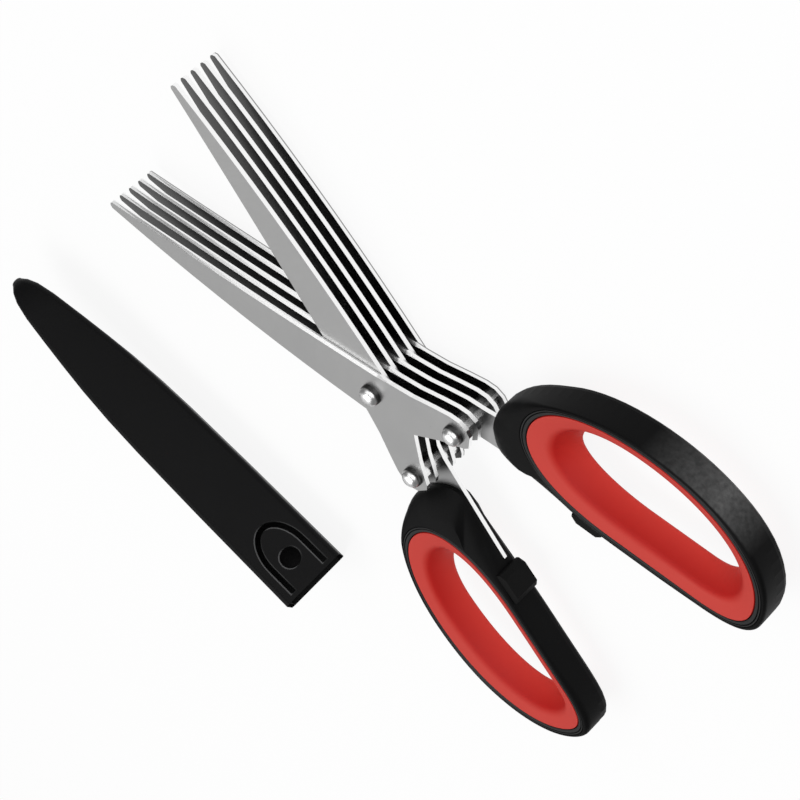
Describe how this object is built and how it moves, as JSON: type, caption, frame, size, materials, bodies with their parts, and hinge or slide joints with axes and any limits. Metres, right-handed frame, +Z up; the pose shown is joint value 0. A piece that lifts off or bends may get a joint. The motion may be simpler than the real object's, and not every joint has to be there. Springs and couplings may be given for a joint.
{
  "type": "herb scissors",
  "caption": "Herb scissors with stacked steel blades on a riveted pivot, black handles lined with soft red rings, stop bumpers on the inner sides, and a loose black blade sheath.",
  "frame": {"origin": "on the pivot axis, in the plane that the scissors rest on, at the set lower end of the pivot rivet", "axes": "+Z up along the pivot axis, out of the domed rivet head; +X towards the blade tips, midway between the two open arms; +Y towards the loose sheath, and the arm that swings has its handle on that side"},
  "size_m": [0.1851, 0.1876, 0.0251],
  "materials": {
    "blade_steel": "satin-ground stainless steel with bright edges",
    "rivet_steel": "polished stainless steel",
    "handle_plastic": "black moulded plastic with a fine even grain",
    "grip_rubber": "satin red soft rubber",
    "bumper_rubber": "matte black rubber",
    "sheath_plastic": "black moulded plastic, smooth satin"
  },
  "bodies": {
    "arm_a": {"blade_a1": "blade_steel", "blade_a2": "blade_steel", "blade_a3": "blade_steel", "blade_a4": "blade_steel", "blade_a5": "blade_steel", "rear_spacer_a1": "rivet_steel", "rear_spacer_a2": "rivet_steel", "rear_spacer_a3": "rivet_steel", "rear_spacer_a4": "rivet_steel", "rear_rivet_a": "rivet_steel", "rear_rivet_collar_a": "rivet_steel", "handle_front_shell_a": "handle_plastic", "handle_rear_shell_a": "handle_plastic", "finger_grip_a": "grip_rubber", "stop_bumper_a": "bumper_rubber", "pivot_rivet": "rivet_steel", "pivot_collar": "rivet_steel", "pivot_washer_1": "rivet_steel", "pivot_washer_2": "rivet_steel", "pivot_washer_3": "rivet_steel", "pivot_washer_4": "rivet_steel"},
    "arm_b": {"blade_b1": "blade_steel", "blade_b2": "blade_steel", "blade_b3": "blade_steel", "blade_b4": "blade_steel", "blade_b5": "blade_steel", "rear_spacer_b1": "rivet_steel", "rear_spacer_b2": "rivet_steel", "rear_spacer_b3": "rivet_steel", "rear_spacer_b4": "rivet_steel", "rear_rivet_b": "rivet_steel", "rear_rivet_collar_b": "rivet_steel", "handle_front_shell_b": "handle_plastic", "handle_rear_shell_b": "handle_plastic", "finger_grip_b": "grip_rubber", "stop_bumper_b": "bumper_rubber"},
    "sheath": {"sheath_front_shell": "sheath_plastic", "sheath_rear_shell": "sheath_plastic"}
  },
  "joints": [
    {"name": "blade_pivot", "type": "hinge", "parent": "arm_a", "child": "arm_b", "pos_m": [0, 0, 0], "axis": [0, 0, 1], "range_deg": [-22.8, 44.8]},
    {"name": "sheath_slide", "type": "slide", "parent": "arm_a", "child": "sheath", "axis": [0.998, 0.0628, 0], "range_m": [0, 0.06]}
  ]
}
